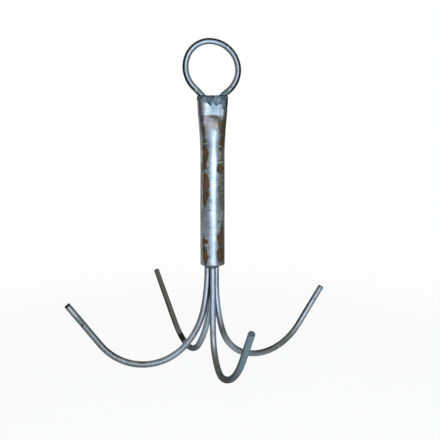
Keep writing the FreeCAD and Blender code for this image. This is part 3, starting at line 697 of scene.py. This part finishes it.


# A reach of 500 degrees is even all round. Lightened stretches are painted light over shade or
# painted highlights, and the scales on a prong's sides are mostly painted shade on its edges.
PRONG_MARKS = {
    "left": rod_marks(
        browns=((0, 237, 70, 9, 0.75), (300, 120, 50, 16, 0.4), (300, 305, 50, 14, 0.35)),
        scales_and_edge_shades=(
            (0, 240, 50, 80, 0.45), (0, 66, 46, 84, 0.8), (335, 284, 60, 24, 0.3),
            (180, 240, 50, 70, 0.6), (0, 345, 46, 36, 0.5), (180, 335, 46, 44, 0.65),
        ),
        teals=((0, 330, 500, 46, 0.45),),
        drabs=((0, 270, 500, 40, 0.6), (0, 336, 500, 40, 0.5)),
        painted_lights=((275, 194, 40, 22, 0.45),),
        scratches=((285, 262, 40, 1.0, 0.6, 0.5),),
        nicks=((270, 335, 40, 1.0, 1.1, 0.9), (250, 290, 30, 1.0, 0.7, 0.6)),
        burnt=4.5,
    ),
    "back": rod_marks(
        scales_and_edge_shades=(
            (0, 246, 300, 7, 1.5), (0, 310, 500, 60, 0.12), (88, 318, 34, 62, 0.7),
            (272, 318, 34, 62, 0.7),
        ),
        teals=((0, 205, 300, 30, 0.6),),
        drabs=((0, 320, 500, 90, 1.3),),
        painted_lights=((190, 142, 56, 48, 1.0), (180, 40, 80, 60, 1.0)),
        scratches=((90, 220, 50, 1.0, 0.6, 0.6),),
        nicks=((120, 275, 40, 1.0, 0.8, 0.8),),
        burnt=1.5,
    ),
    "right": rod_marks(
        browns=((0, 232, 60, 24, 0.65), (50, 186, 50, 9, 0.3), (0, 285, 40, 14, 0.3)),
        scales_and_edge_shades=(
            (0, 250, 50, 200, 0.35), (0, 240, 45, 18, 0.5), (350, 335, 34, 46, 0.42),
            (122, 325, 24, 66, 0.7), (0, 148, 500, 12, 0.42), (0, 184, 55, 24, 0.9),
        ),
        teals=((110, 196, 60, 26, 0.3), (140, 230, 45, 34, 0.3)),
        drabs=((0, 150, 500, 14, 0.8), (0, 215, 500, 24, 0.5), (0, 272, 500, 36, 1.0)),
        painted_lights=(
            (130, 178, 45, 16, 0.5), (120, 116, 50, 18, 0.6), (70, 335, 24, 40, 0.8),
            (140, 228, 42, 34, 0.6),
        ),
        scratches=((100, 262, 50, 1.0, 0.6, 0.5),),
        nicks=((100, 352, 45, 1.0, 0.8, 0.8),),
        burnt=2.5,
    ),
    "front": rod_marks(
        browns=((20, 150, 60, 12, 0.3), (100, 320, 40, 62, 0.25)),
        scales_and_edge_shades=(
            (90, 100, 40, 110, 0.6), (270, 100, 40, 110, 0.5), (0, 375, 500, 5, 0.35),
            (92, 320, 34, 66, 0.45),
        ),
        teals=((215, 322, 108, 82, 1.25), (0, 378, 500, 8, 1.3), (0, 212, 500, 30, 0.4)),
        drabs=((0, 205, 500, 34, 1.3), (90, 320, 90, 76, 0.8)),
        nicks=((330, 198, 50, 1.0, 0.9, 0.4),),
        burnt=0.8,
    ),
}


def in_bundle(side):
    """Where a prong stands in the tube: its place to the right and to the back of the axis."""
    place = np.radians(PRONGS[side][0])
    return np.array([BUNDLE_SHIFT + BUNDLE_RADIUS * np.cos(place), BUNDLE_RADIUS * np.sin(place)])


def make_prong(side, material, seed):
    """A prong: straight down, three tangent bends and a straight tip, resting on the ground.

    The straight above is what the top's height leaves once the bends have dropped by the sum of
    radius times the growth of the sine of the lean, counted to level.
    """
    compass, radii, leans, tip = PRONGS[side][1:]
    leans = np.array((0.0, *leans))
    drop = np.sum(radii * np.diff(np.sin(np.radians(np.minimum(leans, 90)))))
    bends = radii * np.radians(np.diff(leans))
    lengths = np.concatenate(([PRONG_TOP - ROD - drop], bends, [tip]))
    headings = np.concatenate(([0], leans, [leans[-1]]))
    start = np.array([*in_bundle(side), PRONG_TOP])
    down = np.array([0, 0, -1.0])
    out = np.array([np.cos(np.radians(compass)), np.sin(np.radians(compass)), 0])
    make_rod(
        f"{side}_prong", f"prong_{side}", lengths, headings, start, (down, out),
        PRONG_MARKS[side], material, seed,
    )


def make_eye(material, seed):
    """The eye: up the left leg, out at the neck, four bends round the oval, and back down.

    The two straights at the neck are the pair of lengths that bring the line back to the right
    leg, from two equations in the plane.
    """
    neck_out = np.array((0, EYE_HEADINGS[0]))
    oval = np.array(EYE_HEADINGS)
    neck_back = np.array((EYE_HEADINGS[-1], 180))

    def way_round(radii, headings):
        sines = np.diff(-np.cos(np.radians(headings))), np.diff(np.sin(np.radians(headings)))
        signs = np.sign(np.diff(headings))
        return np.array([np.sum(radii * signs * part) for part in sines])

    way = way_round([NECK_RADIUS], neck_out) + way_round(EYE_RADII, oval)
    way = way + way_round([NECK_RADIUS], neck_back)
    ends = np.radians((EYE_HEADINGS[0], EYE_HEADINGS[-1]))
    missing = np.array([2 * LEG_OFFSET, 0]) - way
    straights = np.linalg.solve(np.array([np.sin(ends), np.cos(ends)]), missing)
    bend = np.radians(np.abs(np.diff(np.concatenate((neck_out, oval[1:], [180])))))
    arcs = np.array((NECK_RADIUS, *EYE_RADII, NECK_RADIUS)) * bend
    lengths = np.concatenate((
        [LEG_LENGTH, arcs[0], straights[0]], arcs[1:-1], [straights[1], arcs[-1], LEG_LENGTH]
    ))
    headings = np.concatenate(([0, 0], [oval[0]], oval, [oval[-1], 180, 180]))
    start = np.array([-LEG_OFFSET, 0, RIM - NECK_DEPTH - LEG_LENGTH])
    ways = (np.array([0, 0, 1.0]), np.array([1.0, 0, 0]))
    total = float(lengths.sum())
    top = total / 2
    marks = rod_marks(
        # The scale round the eye's outer edge, and along its inner edge, is painted shade
        scales_and_edge_shades=((180, top, 75, 500, 1.25), (0, top, 50, 500, 0.36), (0, top, 45, 36, 0.4)),
        teals=((0, 32, 400, 10, 0.5), (0, total - 32, 400, 10, 0.55)),
        browns=((90, 140, 70, 12, 0.3),),
        scratches=((270, 37, 50, 1.5, 0.8, 0.6), (260, 150, 40, 1.0, 0.5, 0.5)),
        nicks=((280, total - 42, 60, 1.0, 0.8, 0.7),),
    )
    make_rod("eye", "eye_ring", lengths, headings, start, ways, marks, material, seed)


# Welds

# Where the eye weld's ragged edge lies: millimetres round the girth from the front's middle to the
# right, and millimetres below the rim
RAGGED_EDGE = (
    (-24, 6.5), (-18, 6.0), (-12.5, 7.0), (-9.5, 8.4), (-7.3, 10.2), (-5.2, 11.0), (-3.3, 13.8),
    (-1.8, 12.0), (-0.6, 8.2), (1.2, 9.0), (3.4, 12.0), (5.3, 15.0), (6.8, 13.6), (8.6, 11.0),
    (11.3, 11.6), (13.2, 16.5), (15.0, 20.4), (19.5, 21.4), (22.5, 18.0), (25.5, 11.0), (29.0, 7.0),
    (34.0, 6.0), (37.5, 9.0), (40.5, 13.0), (43.0, 9.5), (45.5, 8.0), (48.5, 11.8), (51.0, 8.4),
    (54.0, 15.0), (56.5, 10.4), (60.0, 12.0), (64.0, 7.0), (69.0, 9.4),
)

# Pale and black runs in the eye weld, listed as the tube's stains are
WELD_PALE_RUNS = (
    (9, 352.5, 3, 4, 1.0), (13, 349.5, 3, 4, 0.7), (26, 351, 7, 5, 0.75), (34, 349, 4, 5, 0.5),
    (-74, 354, 14, 4, 0.7), (-52, 351, 6, 4, 0.6), (-20, 351, 7, 2.4, 0.4), (62, 347, 7, 8, 0.5),
    (180, 350, 60, 4, 0.4), (130, 352, 12, 5, 0.6),
)
WELD_BLACK_RUNS = (
    (2, 355.8, 7, 1.2, 0.8), (-20, 356.4, 26, 0.7, 0.7), (78, 347, 10, 3, 0.9), (-86, 351, 8, 5, 0.7),
    (-12, 350.4, 3, 1.6, 0.5), (6, 351.5, 3, 2.4, 0.6), (46, 354, 8, 2.4, 0.5), (30, 346.5, 5, 2, 0.5),
)

# The eye weld's columns, and its rows over the cap, round the edge and down the outside
EYE_WELD_COLUMNS = 360
CAP_ROWS = 46
ROUND_ROWS = 9
DOWN_ROWS = 70

# The eye weld: how far it covers the rim, stands over it and stands proud of the faces, where it
# starts to round over, how far its ragged edge bites into the tube, and the lumps as the dents are
RIM_INSET = 1.0
CAP_HEIGHT = 0.8
PROUD = 0.75
SHOULDER = 0.4
BITE = 0.12
EYE_WELD_LUMPS = ((0.26, 5.0), (0.14, 2.1))

# A leg of the eye where it leaves the weld: its place, its half width on the lean, and the height
# and the spread of the fillet round it
LEAVING_LEG = (13.0, 4.67)
LEG_FILLET = (0.8, 0.16)

# Where the eye weld turns in: insets of two hidden rows, the depth of the second and of the end
HIDDEN_INSETS = (0.8, 2.8)
HIDDEN_DEPTH = 5.0
END_DEPTH = 6.0

# Both welds close on their hidden side by two rings at these shares of the last, and a pole
CLOSING_SHARES = (0.6, 0.05)

# Half the flat stretch of a pressed face
FLAT_HALF_WIDTH = PRESSED_HALF_WIDTH - PRESSED_HALF_DEPTH


def make_eye_weld(material):
    """The weld over the squeezed rim, from a pole on top, over the edge and down to its ragged end.

    The top is the rim's outline scaled by a share, lifted into fillets round the legs that fall
    off with the elliptic distance from them. The edge is a quarter of an ellipse. Down the outside
    the height over the tube falls with the fourth power of the share of the way to the ragged
    edge, and is a quarter as much at the sides. The surface then turns in through the wall to a
    pole below the rim. Lumps are ripples.
    """
    share = np.arange(EYE_WELD_COLUMNS)[None, :] / EYE_WELD_COLUMNS
    places, reach = np.array(RAGGED_EDGE).T
    edge = np.interp(share * PRESSED_GIRTH, places, reach, period=PRESSED_GIRTH)
    circle = 15 * np.stack((np.cos(share * TURN), np.sin(share * TURN), 0 * share), axis=-1)
    edge = edge + 0.7 * ripple(circle, wavelength=3.0, seed=11)
    at_side = ease(np.abs(np.cos(share * TURN)), 0.85, 0.3)
    proud = PROUD * (1 - 0.75 * at_side)

    scale = np.linspace(0.03, 1, CAP_ROWS)[:, None]
    top = squeezed_section(0 * scale, share, -RIM_INSET + 0 * scale)
    top = top * np.array([1, 1, 0]) * scale[..., None]
    top[..., 2] = RIM + CAP_HEIGHT

    turn = np.linspace(0, np.pi / 2, ROUND_ROWS)[1:, None]
    over = squeezed_section(0 * turn, share, -RIM_INSET + (RIM_INSET + proud) * np.sin(turn))
    over[..., 2] = RIM - SHOULDER + (CAP_HEIGHT + SHOULDER) * np.cos(turn)

    fall = np.linspace(0, 1, DOWN_ROWS)[1:, None]
    depth = SHOULDER + fall * (edge - SHOULDER)
    down = squeezed_section(depth, share, proud * (1 - fall ** 4) - BITE * fall ** 8)

    back = np.array([0.0, 1.0])[:, None]
    inset = np.array(HIDDEN_INSETS)[:, None]
    inside = squeezed_section(edge * (1 - back) + HIDDEN_DEPTH * back, share, -inset)
    end = inside[-1:] * np.array([1, 1, 0]) * np.array(CLOSING_SHARES)[:, None, None]
    end[..., 2] = RIM - END_DEPTH
    points = np.concatenate((top, over, down, inside, end))
    hidden = np.zeros(len(inside) + len(end))

    leg_place, leg_half_width = LEAVING_LEG
    gap = np.hypot((np.abs(points[..., 0]) - leg_place) / leg_half_width, points[..., 1] / ROD)
    fillet_height, fillet_spread = LEG_FILLET
    fillet = fillet_height * np.exp(-np.clip(gap - 1, 0, None) / fillet_spread)
    lumps = uneven(points, EYE_WELD_LUMPS, seed=21)
    upward = np.concatenate((np.ones(len(top)), np.cos(turn[:, 0]), np.zeros(len(down)), hidden))
    points[..., 2] += (fillet + lumps) * upward[:, None]
    sideways = np.concatenate((np.zeros(len(top)), np.sin(turn[:, 0]), 1 - fall[:, 0] ** 6, hidden))
    core = np.array([FLAT_HALF_WIDTH, 0])
    away = points[..., :2] - np.clip(points[..., :2], -core, core)
    away = away / np.maximum(np.linalg.norm(away, axis=-1, keepdims=True), 1e-6)
    points[..., :2] += away * (0.8 * lumps * sideways[:, None])[..., None]
    bearing = np.broadcast_to(360 * share, points.shape[:2])
    marks = {
        "unbent": points * MM,
        "pale": patch_marks(bearing, points[..., 2], WELD_PALE_RUNS),
        "black": patch_marks(bearing, points[..., 2], WELD_BLACK_RUNS),
    }
    lay_surface("eye_weld_bead", "eye_weld", points, marks, material)


# The prong weld: columns, rows of its underside, gap to the bore, how far in from the tube's end it
# starts, and its thickness
PRONG_WELD_COLUMNS = 220
UNDER_ROWS = 70
BORE_GAP = 0.05
WELD_SETBACK = 0.3
WELD_THICKNESS = 7.7

# Its underside: the pool's depth and the radii that it fades out between, the height and the spread
# of the fillets round the rods, and the lumps as the dents are
POOL_DEPTH = 3.0
POOL_FADE = (8.0, 10.6)
ROD_FILLET = (1.6, 0.9)
PRONG_WELD_LUMPS = ((0.22, 4.5), (0.12, 1.8))

# The round tack on the front rod: its radius and how far in front of the rod's middle it sits
TACK_RADIUS = 5.2
TACK_FORWARD = 1.6


def make_prong_weld(material):
    """The weld in the lower end, from a pole in its middle out to the bore, up and back to a pole.

    Its underside hangs by a smooth step inside the pool's radius, and by half a ball at the tack
    in front, with fillets that fall off from each rod. Lumps are ripples.
    """
    around = np.arange(PRONG_WELD_COLUMNS)[None, :] / PRONG_WELD_COLUMNS * TURN
    circle = np.stack((np.cos(around), np.sin(around)), axis=-1)
    bore = TUBE - WALL - BORE_GAP
    radius = np.linspace(0.2, bore, UNDER_ROWS)[:, None]
    x, y = np.moveaxis(radius[..., None] * circle, -1, 0)
    pool_from, pool_to = POOL_FADE
    hang = POOL_DEPTH * ease(-np.hypot(x - BUNDLE_SHIFT, y), -pool_to, -pool_from)
    rods = np.stack([in_bundle(side) for side in PRONGS], axis=1)
    gaps = np.hypot(x[..., None] - rods[0], y[..., None] - rods[1]).min(axis=-1) - ROD
    fillet_height, fillet_spread = ROD_FILLET
    hang = hang + fillet_height * np.exp(-np.clip(gaps, 0, None) / fillet_spread)
    front = in_bundle("front")
    from_tack = np.hypot(x - front[0], y - front[1] + TACK_FORWARD)
    hang = np.maximum(hang, np.sqrt(np.clip(TACK_RADIUS ** 2 - from_tack ** 2, 0, None)))
    start = LOWER_END + WELD_SETBACK
    under = np.stack((x, y, start - hang), axis=-1)
    under[..., 2] += uneven(under, PRONG_WELD_LUMPS, seed=31) * ease(bore - radius, 0, 1.5)

    def ring(scale, height):
        flat = scale * bore * circle
        return np.concatenate((flat, np.full_like(flat[..., :1], height)), axis=-1)

    end = start + WELD_THICKNESS
    lid = [ring(scale, end) for scale in CLOSING_SHARES]
    points = np.concatenate((under, ring(1, (start + end) / 2), ring(1, end), *lid))
    beside = np.array([300.0, 0, 0])
    marks = {"unbent": (points + beside) * MM, "pale": 1.0, "black": 0.0}
    lay_surface("prong_weld_bead", "prong_weld", points, marks, material)


make_tube(tube_finish())
make_eye(rod_finish("drawn_rod_of_the_eye", EYE_STEEL, BLACK_SCALE_AND_SHADE, brown_lift=0.0), seed=7)
prong_steel = rod_finish("drawn_rod_of_the_prongs", PRONG_STEEL, OLIVE_SCALE_AND_SHADE, brown_lift=0.08)
for seed, side in enumerate(PRONGS, 11):
    make_prong(side, prong_steel, seed)
weld_metal = weld_finish()
make_eye_weld(weld_metal)
make_prong_weld(weld_metal)


# Stage, light and camera

# How much of the white surroundings the steel mirrors
MIRRORED_LEVEL = 0.45

# The floor's radius in metres, and the distances between which its glow grows to full
FLOOR_RADIUS = 6
GLOW_FADE = (0.25, 1.0)
GLOW_NEAR = 0.92

# How bright the surroundings are as light
AMBIENT_LEVEL = 0.20

# Soft boxes: place, target, width, height, radiance and tint
LIGHTS = {
    "front_box": ((0.20, -0.74, 0.32), (0.0, 0, 0.32), 0.38, 0.64, 3.3, (0.95, 0.98, 1.0)),
    "side_box": ((-0.09, -0.76, 0.32), (0.0, 0, 0.32), 0.20, 0.64, 0.9, (0.88, 0.96, 1.0)),
    "wide_box": ((0.12, -1.0, 0.42), (0, 0, 0.42), 1.5, 0.84, 1.0, (0.50, 0.76, 1.0)),
    "low_box": ((0.0, -0.50, 0.004), (0, -0.50, 1.0), 0.7, 0.46, 1.7, (0.78, 0.90, 1.0)),
    "left_box": ((-1.3, 0.9, 0.6), (0, 0, 0.3), 0.6, 0.9, 1.2, (1, 1, 1)),
    "back_box": ((0.8, 1.4, 0.7), (0, 0, 0.3), 0.6, 0.9, 1.5, (1, 1, 1)),
    "top_box": ((0.0, 0.2, 1.8), (0, 0.2, 0), 1.2, 1.2, 0.8, (1, 1, 1)),
}

# The camera: place in metres, how far it looks down and to the left in radians, lens and shift
CAMERA_PLACE = (0.001057, -0.84675, 0.3024)
CAMERA_DOWN = 0.0117
CAMERA_LEFT = 0.0001
LENS = 52.49
SHIFT = (0.0154, -0.17)


def make_stage():
    """A round white floor. Its own glow for the camera is full far off and leaves room for the
    shadow near the anchor."""
    ring = np.arange(96) / 96 * TURN
    points = FLOOR_RADIUS * np.stack((np.cos(ring), np.sin(ring), 0 * ring), axis=1)
    mesh = bpy.data.meshes.new("floor")
    mesh.from_pydata(points.tolist(), [], [list(range(len(ring)))])
    floor = bpy.data.objects.new("floor", mesh)
    bpy.context.scene.collection.objects.link(floor)
    pale = Finish("pale_floor")
    pale.set(base_color=(0.9, 0.9, 0.9, 1), roughness=1.0)
    glow = pale.add("ShaderNodeEmission", {"Color": (1, 1, 1, 1), "Strength": 1.0})
    place = pale.add("ShaderNodeTexCoord").outputs["Object"]
    away = pale.add("ShaderNodeVectorMath", {0: place}, operation="LENGTH").outputs["Value"]
    share = pale.between(away, *GLOW_FADE, start=GLOW_NEAR)
    mixed = pale.add("ShaderNodeMixShader")
    pale.feed(mixed.inputs[0], pale.maths("MULTIPLY", pale.whiteness(), share))
    pale.feed(mixed.inputs[1], pale.shader.outputs["BSDF"])
    pale.feed(mixed.inputs[2], glow.outputs["Emission"])
    pale.feed(pale.tree.nodes["Material Output"].inputs["Surface"], mixed.outputs["Shader"])
    mesh.materials.append(pale.material)


def set_world():
    """White to the camera, pale in reflections, and a soft grey as light."""
    world = bpy.data.worlds.new("studio")
    bpy.context.scene.world = world
    world.use_nodes = True
    sky = Nodes(world.node_tree)
    backdrop = sky.tree.nodes["Background"]
    sky.feed(backdrop.inputs["Color"], (1, 1, 1, 1))
    sky.feed(backdrop.inputs["Strength"], sky.value(sky.whiteness(), AMBIENT_LEVEL, 1.0))


def add_light(name, place, target, width, height, radiance, tint):
    """A soft box, unseen itself, whose power is radiance times its area times pi."""
    light = bpy.data.lights.new(name, "AREA")
    light.shape = "RECTANGLE"
    light.size = width
    light.size_y = height
    light.energy = radiance * width * height * np.pi
    light.color = tint
    lamp = bpy.data.objects.new(name, light)
    lamp.location = place
    aim = np.array(target) - np.array(place)
    lamp.rotation_euler = (
        np.arctan2(np.hypot(aim[0], aim[1]), -aim[2]), 0, np.arctan2(aim[1], aim[0]) - np.pi / 2
    )
    lamp.visible_camera = False
    bpy.context.scene.collection.objects.link(lamp)


def set_camera():
    """Level with the upper tube, looking down a little, with the frame shifted down to the hooks."""
    lens = bpy.data.cameras.new("camera")
    lens.sensor_width = 36
    lens.lens = LENS
    lens.shift_x, lens.shift_y = SHIFT
    lens.clip_start = 0.05
    camera = bpy.data.objects.new("camera", lens)
    camera.location = CAMERA_PLACE
    camera.rotation_euler = (np.pi / 2 - CAMERA_DOWN, 0, CAMERA_LEFT)
    bpy.context.scene.collection.objects.link(camera)
    bpy.context.scene.camera = camera


make_stage()
set_world()
for name, light in LIGHTS.items():
    add_light(name, *light)
set_camera()
bpy.context.scene.view_settings.view_transform = "Standard"
